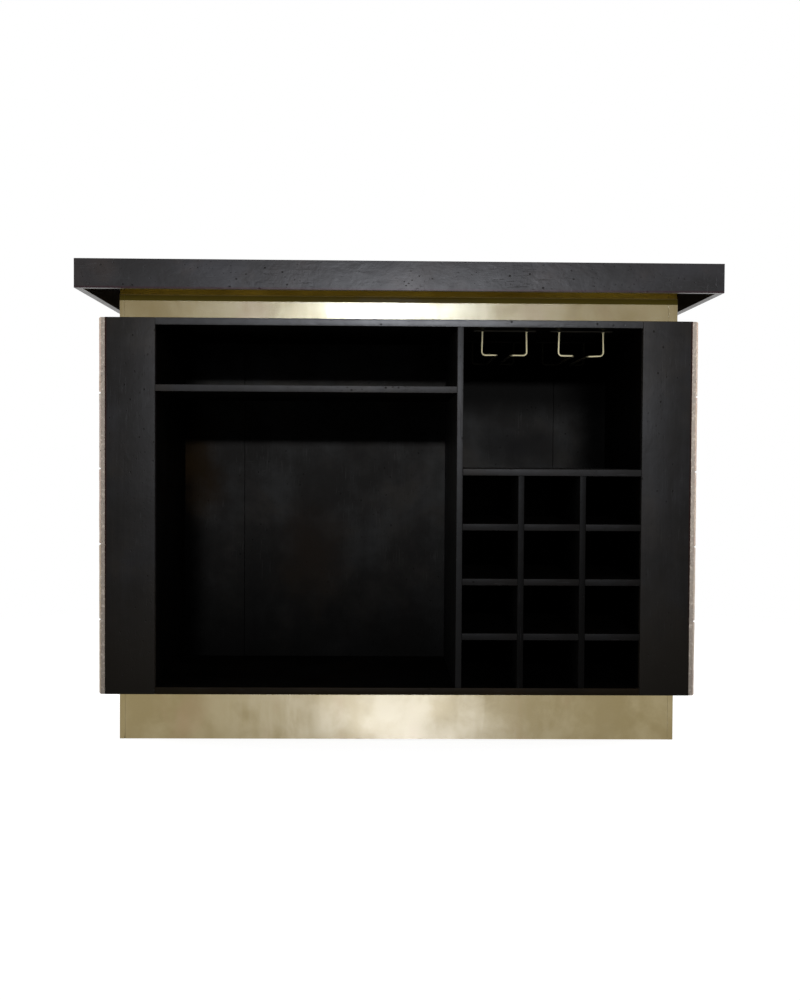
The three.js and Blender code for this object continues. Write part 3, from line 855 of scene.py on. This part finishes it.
# mitred top, the outer arrises rounded before the mitres are cut; each side with the way it looks
topPlan = {
    "arris": 0.0004,
    "segments": 4,
    "gap": 0.00004,
    "board": 0.016,
    "sides": {"open_side": (0, -1), "guest_side": (0, 1), "left_end": (-1, 0), "right_end": (1, 0)},
}


def boxMesh(low, high):
    bm = bmesh.new()
    bmesh.ops.create_cube(bm, size=1.0)
    low, high = Vector(low), Vector(high)
    bmesh.ops.scale(bm, vec=high - low, verts=bm.verts)
    moveBy(bm, bm.verts, (high + low) / 2)
    return bm


def cutAway(bm, point, away):
    cut = splitBy(bm, point, away, clear_outer=True)
    rim = [g for g in cut["geom_cut"] if isinstance(g, bmesh.types.BMEdge)]
    bmesh.ops.edgeloop_fill(bm, edges=rim)


def roundedTopBox(plan, low, high):
    bm = boxMesh(low, high)
    upper = [e for e in bm.edges if all(v.co.z > low.z + 1e-6 for v in e.verts)]
    bevelEdges(bm, upper + uprightEdges(bm), plan["arris"], plan["segments"])
    return bm


def paintInside(bm, inside):
    bm.normal_update()
    for f in bm.faces:
        f.material_index = 1 if f.normal.dot(inside) > 0.99 else 0


def makeTop(plan):
    low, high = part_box("top_edge_open_side")[0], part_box("top_panel")[1]
    low, high = Vector((-high.x, -high.y, low.z)), Vector(high)
    board, gap = plan["board"], plan["gap"]
    up = Vector((0, 0, 1))
    faces = {name: (Vector((x * high.x, y * high.y, 0)), Vector((x, y, 0))) for name, (x, y) in plan["sides"].items()}
    bm = roundedTopBox(plan, low, high)
    cutAway(bm, up * (high.z - board), -up)
    for point, out in faces.values():
        cutAway(bm, point + up * (high.z - gap), out - up)
    paintInside(bm, -up)
    addPiece("top_panel", bm, [woods["topWoodLong"], woods["underWood"]])
    for side, (point, out) in faces.items():
        bm = roundedTopBox(plan, low, high)
        cutAway(bm, point - out * board, -out)
        cutAway(bm, point + up * (high.z + gap), up - out)
        isLong = abs(out.y) > 0.5
        across = Vector((-out.y, out.x, 0))
        for way in (-1, 1):
            corner = point + across * way * (high.x if isLong else high.y)
            cutAway(bm, corner, across * way - out)
        paintInside(bm, -out)
        # downward faces take the paler rim wood, partly painted light from the floor
        for f in bm.faces:
            if f.normal.z < -0.9:
                f.material_index = 2
        outer, inner = ("topWoodLong", "hiddenBoard") if isLong else ("topWoodEnds", "underWood")
        made = addPiece("top_edge_" + side, bm, [woods[outer], woods[inner], woods["rimWood"]])
        litBy["sheen"].objects.link(made)
        litBy["overhang"].objects.link(made)


makeTop(topPlan)
print("top mitred")

# brass sheets, a little buckled, with half round free edges
sheetPlan = {
    "cell": 0.011,
    "depth": 0.00045,
    "waves": (6.5, 6.5 * 1.3),
    "ripples": (17, 24),
    "ripple": 0.25,
    "edge": 0.00025,
    "edgeSegments": 2,
    "calm": 0.03,
    "lift": 0.0003,
    "seam": 0.00032,
    "gauge": {"thickness": 0.0012, "offset": -1, "use_even_offset": True},
    "rim": {"width": 0.0002, "segments": 2, "limit_method": "ANGLE", "angle_limit": 1.0, "harden_normals": True},
    "corner": 0.0019,
    "cornerSteps": 4,
    "curl": None,
}
levels = {
    "neck": (neckBrass, sheetPlan, sheetPlan),
    "plinth": (
        plinthBrass, {**sheetPlan, "ripple": 0.55}, {**sheetPlan, "curl": {"height": 0.012, "reach": -0.0016}},
    ),
}


def buckle(place, plan, seed):
    (wide, tall), (rippleWide, rippleTall) = plan["waves"], plan["ripples"]
    wave = noise.noise(Vector((place.x * wide, place.y * wide + seed, place.z * tall)))
    ripple = noise.noise(Vector((place.x * rippleWide, place.y * rippleWide - seed, place.z * rippleTall)))
    return plan["depth"] * (0.5 + 0.8 * wave + plan["ripple"] * ripple)


def cellsAlong(length, plan):
    return max(2, round(length / plan["cell"]))


def flatSheet(nodeName, material, plan, seed):
    low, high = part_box(nodeName)
    size, middle = high - low, (high + low) / 2
    out = -1 if middle.y < 0 else 1
    outer, inner = (low.y, high.y) if out < 0 else (high.y, low.y)
    bm = bmesh.new()
    bmesh.ops.create_grid(bm, x_segments=cellsAlong(size.x, plan), y_segments=cellsAlong(size.z, plan), size=0.5)
    bmesh.ops.rotate(bm, cent=(0, 0, 0), matrix=Matrix.Rotation(math.pi / 2, 3, "X"), verts=bm.verts)
    bmesh.ops.scale(bm, vec=(size.x, 1, size.z), verts=bm.verts)
    moveBy(bm, bm.verts, (middle.x, outer, middle.z))
    shown = set(bm.verts)
    backVerts, backEdges = growEdges(bm, [e for e in bm.edges if e.is_boundary])
    moveBy(bm, backVerts, (0, inner - outer, 0))
    bmesh.ops.edgeloop_fill(bm, edges=backEdges)
    for v in shown:
        fade = min(1, (v.co.x - low.x) / plan["calm"], (high.x - v.co.x) / plan["calm"])
        v.co.y -= out * buckle(v.co, plan, seed) * max(0.0, fade)
    rim = [e for e in bm.edges if shown.issuperset(e.verts) and e.calc_face_angle(0) > 0.9]
    bevelEdges(bm, rim, plan["edge"], plan["edgeSegments"])
    return addPiece(nodeName, bm, [material], 0.3)


# steps a vertex on along a straight line, or round a corner
def pushTip(bm, tip, end, count):
    start = tip.co.copy()
    for step in range(1, count + 1):
        after = bm.verts.new(start.lerp(end, step / count))
        bm.edges.new((tip, after))
        tip = after
    return tip


def turnTip(bm, tip, centre, way, plan):
    spun = bmesh.ops.spin(
        bm, geom=[tip], cent=centre, axis=(0, 0, 1), angle=way * math.pi / 2, steps=plan["cornerSteps"],
        dvec=(0, 0, 0), use_duplicate=False,
    )
    return next(g for g in spun["geom_last"] if isinstance(g, bmesh.types.BMVert))


def foldedSheet(nodeName, material, plan, seed):
    low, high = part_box(nodeName)
    way = 1 if low.x > 0 else -1
    endX = high.x if way > 0 else low.x
    freeX = (low.x if way > 0 else high.x) - way * plan["seam"]
    front, corner, curl = low.y - plan["lift"], plan["corner"], plan["curl"]
    bend = endX - way * corner
    bm = bmesh.new()
    tip = pushTip(bm, bm.verts.new((freeX, front, low.z)), Vector((bend, front, low.z)), 2)
    tip = turnTip(bm, tip, (bend, front + corner, low.z), way, plan)
    count = cellsAlong(high.y - front - 2 * corner, plan)
    tip = pushTip(bm, tip, Vector((endX, high.y - corner, low.z)), count)
    tip = turnTip(bm, tip, (bend, high.y - corner, low.z), way, plan)
    pushTip(bm, tip, Vector((freeX, high.y, low.z)), 2)
    rows = cellsAlong(high.z - low.z, plan)
    ring = list(bm.edges)
    for _ in range(rows):
        raised, ring = growEdges(bm, ring)
        moveBy(bm, raised, (0, 0, (high.z - low.z) / rows))
    for v in bm.verts:
        if abs(v.co.x - endX) < 1e-5 and low.y + plan["calm"] < v.co.y < high.y - plan["calm"]:
            v.co.x -= way * buckle(v.co, plan, seed)
        if curl and way < 0 and abs(v.co.x - freeX) < 1e-5 and v.co.y < 0 and v.co.z < curl["height"]:
            v.co.x -= way * curl["reach"] * (1 - v.co.z / curl["height"]) ** 2
    bmesh.ops.recalc_face_normals(bm, faces=bm.faces)
    endMiddle = Vector((endX, 0, (low.z + high.z) / 2))
    probe = min(bm.faces, key=lambda f: (f.calc_center_median() - endMiddle).length)
    if probe.normal.x * way < 0:
        bmesh.ops.reverse_faces(bm, faces=bm.faces)
    made = addPiece(nodeName, bm, [material], 0.9, closed=False)
    setAll(made.modifiers.new("gauge", "SOLIDIFY"), plan["gauge"])
    setAll(made.modifiers.new("edge", "BEVEL"), plan["rim"])
    return made


for level, (brass, flatPlan, foldedPlan) in levels.items():
    shown = []
    for index, side in enumerate(("open_side", "guest_side")):
        shown.append(flatSheet(f"{level}_sheet_{side}", brass, flatPlan, 3.7 * index + len(level)))
    for index, side in enumerate(("left_end", "right_end")):
        shown.append(foldedSheet(f"{level}_sheet_{side}", brass, foldedPlan, 1.9 * index + len(level)))
    for made in shown:
        litBy[level + "Glint"].objects.link(made)
print("brass sheets folded")

# stone tiles with a rough face, softened edges and a chamfer down to the joint
tilePlan = {
    "rows": 5,
    "cells": 22,
    "chamfer": 0.003,
    "chamferDepth": 0.0026,
    "chamferSteps": [(0.35, 0.16), (0.75, 0.55), (1.0, 1.0), (1.0, 2.2)],
    "joint": 0.0007,
    "rough": 0.0008,
    "humps": 26,
    "grains": 95,
    "proud": 0.0015,
    "wander": 0.0006,
    "ragged": (41, 43),
    "groutDepth": 0.0032,
    "groutInset": 0.001,
    "groutGap": 0.0004,
}
# columns and seed of each side
tiledSides = {"tiles_left_end": (3, 2.3), "tiles_right_end": (3, 8.6), "tiles_guest_side": (8, 5.1)}


def shadeOf(column, row, seed):
    spot = Vector((column * 1.71 + seed, row * 2.37, seed * 0.7))
    grey = max(0.0, noise.noise(spot) * 1.1)
    ochre = max(0.0, noise.noise(spot + Vector((9.1, 4.2, 2.2))) * 0.9)
    return (min(0.75, grey), min(0.6, ochre), 0.0, 1.0)


# a tile lies with its face up at z = 0 round the centre
def addTile(bm, layer, plan, size, thickness, centre, shade, seed):
    made = bmesh.ops.create_grid(bm, x_segments=plan["cells"], y_segments=plan["cells"], size=0.5)["verts"]
    inset = plan["chamfer"] + plan["joint"]
    bmesh.ops.scale(bm, vec=(size.x - 2 * inset, size.y - 2 * inset, 1), verts=made)
    verts = set(made)
    for spread, deep in plan["chamferSteps"] + [(1.0, thickness / plan["chamferDepth"])]:
        ring, _ = growEdges(bm, openEdges(verts))
        back = plan["joint"] + plan["chamfer"] * (1 - spread)
        oldX, oldY = max(abs(v.co.x) for v in ring), max(abs(v.co.y) for v in ring)
        for v in ring:
            v.co.x *= (size.x / 2 - back) / oldX
            v.co.y *= (size.y / 2 - back) / oldY
            v.co.z = -deep * plan["chamferDepth"]
        verts.update(ring)
    bmesh.ops.edgeloop_fill(bm, edges=openEdges(verts))
    for v in verts:
        spot = Vector((v.co.x + centre.x, v.co.y + centre.y, seed))
        hump, grain = noise.noise(spot * plan["humps"]), noise.noise(spot * plan["grains"])
        drop = plan["rough"] * (0.9 - 0.55 * hump - 0.35 * grain)
        v.co.z += (plan["proud"] - max(0.0, drop)) * min(1.0, 1 + v.co.z / thickness)
        lift = Vector((0, 0, v.co.z * 60))
        for axis, ragged in enumerate(plan["ragged"]):
            if abs(v.co[axis]) > size[axis] / 2 - inset - 0.001:
                stray = plan["wander"] * max(0, 0.5 + noise.noise(spot * ragged + lift))
                v.co[axis] -= math.copysign(stray, v.co[axis])
    shadeFaces(verts, layer, shade)
    moveBy(bm, list(verts), centre)


def makeTiles(nodeName, columns, seed, plan):
    low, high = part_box(nodeName)
    size, middle = high - low, (high + low) / 2
    isEnd = size.x < size.y
    thickness = min(size.x, size.y)
    length = size.y if isEnd else size.x
    bm = bmesh.new()
    layer = bm.loops.layers.float_color.new("tileShade")
    tile = Vector((length / columns, size.z / plan["rows"]))
    for column in range(columns):
        for row in range(plan["rows"]):
            centre = Vector(((column + 0.5) * tile.x - length / 2, (row + 0.5) * tile.y - size.z / 2, 0))
            addTile(bm, layer, plan, tile, thickness, centre, shadeOf(column, row, seed), seed + column * 0.3)
    slab = bmesh.ops.create_cube(bm, size=1.0)["verts"]
    deep = thickness - plan["groutDepth"]
    inset = plan["groutInset"]
    bmesh.ops.scale(bm, vec=(length - inset, size.z - inset, deep - plan["groutGap"]), verts=slab)
    moveBy(bm, slab, (0, 0, -thickness + deep / 2))
    shadeFaces(slab, layer, (0.2, 0.0, 0.0, 1.0), 1)
    out = 1 if low.x > 0 else -1
    turn = Matrix.Rotation(out * math.pi / 2 if isEnd else math.pi, 3, "Z") @ Matrix.Rotation(math.pi / 2, 3, "X")
    faceX, faceY = (high.x if out > 0 else low.x, middle.y) if isEnd else (middle.x, high.y)
    bmesh.ops.rotate(bm, cent=(0, 0, 0), matrix=turn, verts=bm.verts)
    moveBy(bm, bm.verts, (faceX, faceY, middle.z))
    made = addPiece(nodeName, bm, [tileStone, groutSand], 1.2)
    litBy["tilesLeft"].objects.link(made)
    litBy["tilesRight"].objects.link(made)


for nodeName, (columns, seed) in tiledSides.items():
    makeTiles(nodeName, columns, seed, tilePlan)
print("tiles laid")

# bent wire racks, each wire welded under two plates
rackPlan = {
    "diameter": 0.0048,
    "bend": 0.008,
    "sides": 16,
    "bendSteps": 8,
    "width": 0.108,
    "slot": 0.027,
    "splay": 0.0012,
    "weld": 0.78,
    "weldFlat": 0.45,
    "plateThickness": 0.0026,
    "plateWidth": 0.018,
    "plateCorner": 0.004,
    "cornerSegments": 5,
    "plateArris": 0.0006,
}
# how far the front ends of the two wires stand up
rackLeans = {"stemware_rack_1": (0.0003, 0.0), "stemware_rack_2": (-0.0002, -0.0016)}


def bentWire(corners, plan):
    bend = plan["bend"]
    bm = bmesh.new()
    heading = (corners[1] - corners[0]).normalized()
    circle = bmesh.ops.create_circle(bm, cap_ends=False, radius=plan["diameter"] / 2, segments=plan["sides"])["verts"]
    bmesh.ops.rotate(bm, cent=(0, 0, 0), matrix=heading.to_track_quat("Z", "Y").to_matrix(), verts=circle)
    moveBy(bm, circle, corners[0])
    edges = list(bm.edges)
    bmesh.ops.edgeloop_fill(bm, edges=edges)
    here = corners[0]
    for corner, after in zip(corners[1:-1], corners[2:]):
        heading, onward = (corner - here).normalized(), (after - corner).normalized()
        turn = heading.angle(onward)
        reach = bend * math.tan(turn / 2)
        verts, edges = growEdges(bm, edges)
        moveBy(bm, verts, corner - heading * reach - here)
        axis = heading.cross(onward).normalized()
        centre = corner - heading * reach + axis.cross(heading) * bend
        step = Matrix.Rotation(turn / plan["bendSteps"], 3, axis)
        for _ in range(plan["bendSteps"]):
            verts, edges = growEdges(bm, edges)
            bmesh.ops.rotate(bm, cent=centre, matrix=step, verts=verts)
        here = corner + onward * reach
    verts, edges = growEdges(bm, edges)
    moveBy(bm, verts, corners[-1] - here)
    bmesh.ops.edgeloop_fill(bm, edges=edges)
    return bm


def joinInto(target, source):
    mesh = bpy.data.meshes.new("joined")
    source.to_mesh(mesh)
    source.free()
    target.from_mesh(mesh)
    bpy.data.meshes.remove(mesh)


def makeRack(nodeName, leans, plan):
    low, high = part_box(nodeName)
    middle = (low.x + high.x) / 2
    half, thick = plan["plateWidth"] / 2, plan["plateThickness"]
    near, far = low.y + half, high.y - half
    top, foot = high.z - thick / 2, low.z + plan["diameter"] / 2
    hang, rail = (plan["width"] - plan["diameter"]) / 2, (plan["slot"] + plan["diameter"]) / 2
    whole = bmesh.new()
    for side, lean in zip((-1, 1), leans):
        hangX, railX = middle + side * hang, middle + side * rail
        corners = [
            (hangX - side * plan["splay"], near, top), (hangX, near, foot), (railX, near, foot + lean),
            (railX, far, foot), (hangX, far, foot), (hangX, far, top),
        ]
        joinInto(whole, bentWire([Vector(corner) for corner in corners], plan))
        for y in (near, far):
            radius = plan["diameter"] * plan["weld"]
            weld = bmesh.ops.create_uvsphere(whole, u_segments=16, v_segments=8, radius=radius)["verts"]
            bmesh.ops.scale(whole, vec=(1, 1, plan["weldFlat"]), verts=weld)
            moveBy(whole, weld, (middle + side * (hang - 0.001), y, high.z - thick))
    for y in (near, far):
        plate = boxMesh((low.x, y - half, high.z - thick), (high.x, y + half, high.z))
        bevelEdges(plate, uprightEdges(plate), plan["plateCorner"], plan["cornerSegments"])
        lower = [e for e in plate.edges if all(v.co.z < high.z - 0.002 for v in e.verts)]
        bevelEdges(plate, lower, plan["plateArris"], 2)
        for f in plate.faces:
            f.material_index = 1
        joinInto(whole, plate)
    made = addPiece(nodeName, whole, [wireBrass, plateBrass], 0.8)
    made.visible_shadow = False


for nodeName, leans in rackLeans.items():
    makeRack(nodeName, leans, rackPlan)

# round headed screws with a driver slot; the dome's rings are shares of the head's radius and height
screwPlan = {
    "steps": 28,
    "head": 0.0022,
    "dome": [(0.45, 0), (0.8, 0.25), (1, 0.75), (1, 1)],
    "core": 0.0017,
    "point": 0.002,
    "slot": 0.0011,
    "slotDepth": 0.0009,
    "slotFloor": 0.2,
    "turns": (0.3, 1.1, 2.0, 0.7, 1.6, 2.5, 0.1, 1.3),
}


def makeScrew(nodeName, plan, turn):
    low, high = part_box(nodeName)
    middle = (low + high) / 2
    radius, head, core, half = (high.x - low.x) / 2, plan["head"], plan["core"], plan["slot"] / 2
    dome = [(radius * wide, low.z + head * deep) for wide, deep in plan["dome"]]
    profile = [(0, low.z), *dome, (core, low.z + head), (core, high.z - plan["point"]), (0, high.z)]
    bm = bmesh.new()
    verts = [bm.verts.new((x, 0, z)) for x, z in profile]
    edges = [bm.edges.new(pair) for pair in zip(verts, verts[1:])]
    bmesh.ops.spin(
        bm, geom=verts + edges, cent=(0, 0, 0), axis=(0, 0, 1), angle=2 * math.pi, steps=plan["steps"],
        use_merge=True,
    )
    bmesh.ops.remove_doubles(bm, verts=bm.verts, dist=1e-6)
    for y in (-half, half):
        splitBy(bm, (0, y, 0), (0, 1, 0))
    centres = {f: f.calc_center_median() for f in bm.faces}
    groove = [f for f, centre in centres.items() if abs(centre.y) < half and centre.z < low.z + head * 0.8]
    pushed = bmesh.ops.extrude_face_region(bm, geom=groove)["geom"]
    raised = [g for g in pushed if isinstance(g, bmesh.types.BMVert)]
    bmesh.ops.delete(bm, geom=groove, context="FACES")
    for v in raised:
        v.co.z = low.z + plan["slotDepth"] + (v.co.z - low.z) * plan["slotFloor"]
    bmesh.ops.rotate(bm, cent=(0, 0, 0), matrix=Matrix.Rotation(turn, 3, "Z"), verts=bm.verts)
    moveBy(bm, bm.verts, (middle.x, middle.y, 0))
    addPiece(nodeName, bm, [plateBrass], 0.6)


for index, turn in enumerate(screwPlan["turns"], 1):
    makeScrew(f"rack_screw_{index}", screwPlan, turn)
print("racks bent and screwed")
